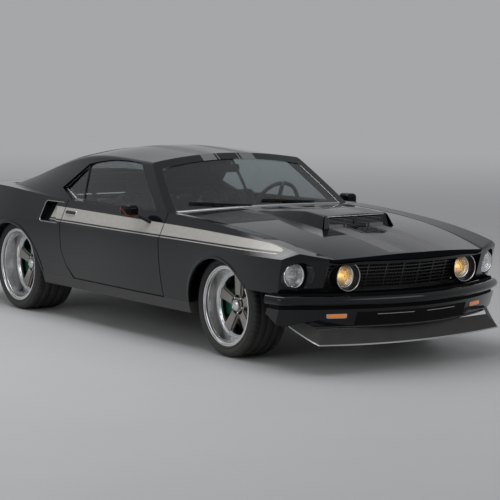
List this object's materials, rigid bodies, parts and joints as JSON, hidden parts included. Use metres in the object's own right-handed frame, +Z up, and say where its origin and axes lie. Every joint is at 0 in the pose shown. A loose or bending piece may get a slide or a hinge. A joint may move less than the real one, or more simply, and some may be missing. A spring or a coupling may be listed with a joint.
{
  "type": "muscle car",
  "caption": "Two-door fastback muscle car with hood scoop, chin spoiler, deep-dish wheels, opening doors, hood and decklid, steered front wheels.",
  "frame": {"origin": "on the ground below the middle of the car", "axes": "+X forward along the car, +Y to the left, +Z up"},
  "size_m": [4.828, 1.965, 1.2639],
  "materials": {
    "paint": "gloss black paint with satin grey stripes",
    "satin_trim": "satin dark grey",
    "glass": "clear glass",
    "lamp": "clear lens",
    "red_lamp": "red lens",
    "black_plastic": "satin black",
    "tyre": "rubber",
    "rim": "polished lip, satin spokes",
    "steel": "machined",
    "chassis": "satin black",
    "caliper": "gloss green",
    "cast": "cast",
    "leather": "dark leather",
    "aluminised": "aluminised steel"
  },
  "bodies": {
    "body": {"centre_console": "black_plastic", "chin_spoiler": "satin_trim", "cowl": "paint", "dashboard": "black_plastic", "driveline": "cast", "engine": "cast", "exhaust": "aluminised", "floor_pan": "chassis", "front_bumper": "paint", "front_seats": "leather", "front_structure": "chassis", "front_suspension": "chassis", "front_valance": "paint", "fuel_tank": "aluminised", "grille": "black_plastic", "headlamps": "lamp", "leaf_springs": "chassis", "left_front_fender": "paint", "left_quarter_panel": "paint", "nose_panel": "paint", "quarter_windows": "glass", "rear_axle": "cast", "rear_bumper": "paint", "rear_calipers": "caliper", "rear_seat": "leather", "rear_window": "glass", "right_front_fender": "paint", "right_quarter_panel": "paint", "rocker_panels": "satin_trim", "roof": "paint", "steering_column": "black_plastic", "tail_lamps": "red_lamp", "tail_panel": "paint", "windscreen": "glass"},
    "left_door": {"left_door": "paint", "left_door_glass": "glass", "left_mirror": "paint"},
    "right_door": {"right_door": "paint", "right_door_glass": "glass", "right_mirror": "paint"},
    "hood": {"hood": "paint"},
    "decklid": {"decklid": "paint"},
    "steering_wheel": {"steering_wheel": "black_plastic"},
    "left_knuckle": {"left_knuckle": "cast", "left_front_caliper": "caliper"},
    "left_front_wheel": {"left_front_tyre": "tyre", "left_front_rim": "rim", "left_front_disc": "steel"},
    "left_rear_wheel": {"left_rear_tyre": "tyre", "left_rear_rim": "rim", "left_rear_disc": "steel"},
    "right_knuckle": {"right_knuckle": "cast", "right_front_caliper": "caliper"},
    "right_front_wheel": {"right_front_tyre": "tyre", "right_front_rim": "rim", "right_front_disc": "steel"},
    "right_rear_wheel": {"right_rear_tyre": "tyre", "right_rear_rim": "rim", "right_rear_disc": "steel"}
  },
  "joints": [
    {"name": "left_door_hinge", "type": "hinge", "parent": "body", "child": "left_door", "pos_m": [0.67, 0.8805, 0.6], "axis": [0, 0, -1], "range_deg": [0, 65]},
    {"name": "right_door_hinge", "type": "hinge", "parent": "body", "child": "right_door", "pos_m": [0.67, -0.8805, 0.6], "axis": [0, 0, 1], "range_deg": [0, 65]},
    {"name": "hood_hinge", "type": "hinge", "parent": "body", "child": "hood", "pos_m": [0.7975, 0, 0.897], "axis": [0, -1, 0], "range_deg": [0, 55]},
    {"name": "decklid_hinge", "type": "hinge", "parent": "body", "child": "decklid", "pos_m": [-1.9935, 0, 0.915], "axis": [0, 1, 0], "range_deg": [0, 60]},
    {"name": "right_steer", "type": "hinge", "parent": "body", "child": "right_knuckle", "pos_m": [1.3715, -0.585, 0.334], "axis": [0, 0, 1], "range_deg": [-30, 30]},
    {"name": "left_steer", "type": "hinge", "parent": "body", "child": "left_knuckle", "pos_m": [1.3715, 0.585, 0.334], "axis": [0, 0, 1], "range_deg": [-30, 30]},
    {"name": "steering_wheel_turn", "type": "hinge", "parent": "body", "child": "steering_wheel", "pos_m": [0.33, 0.37, 0.83], "axis": [-0.9272, 0, 0.3746], "range_deg": [-450, 450]},
    {"name": "left_front_spin", "type": "hinge", "parent": "left_knuckle", "child": "left_front_wheel", "pos_m": [1.3715, 0.672, 0.334], "axis": [0, 1, 0], "continuous": true},
    {"name": "left_rear_spin", "type": "hinge", "parent": "body", "child": "left_rear_wheel", "pos_m": [-1.3715, 0.69, 0.34], "axis": [0, 1, 0], "continuous": true},
    {"name": "right_front_spin", "type": "hinge", "parent": "right_knuckle", "child": "right_front_wheel", "pos_m": [1.3715, -0.672, 0.334], "axis": [0, 1, 0], "continuous": true},
    {"name": "right_rear_spin", "type": "hinge", "parent": "body", "child": "right_rear_wheel", "pos_m": [-1.3715, -0.69, 0.34], "axis": [0, 1, 0], "continuous": true}
  ],
  "couplings": [
    {"joint": "left_steer", "follows": "right_steer", "ratio": 1},
    {"joint": "steering_wheel_turn", "follows": "right_steer", "ratio": 15}
  ]
}
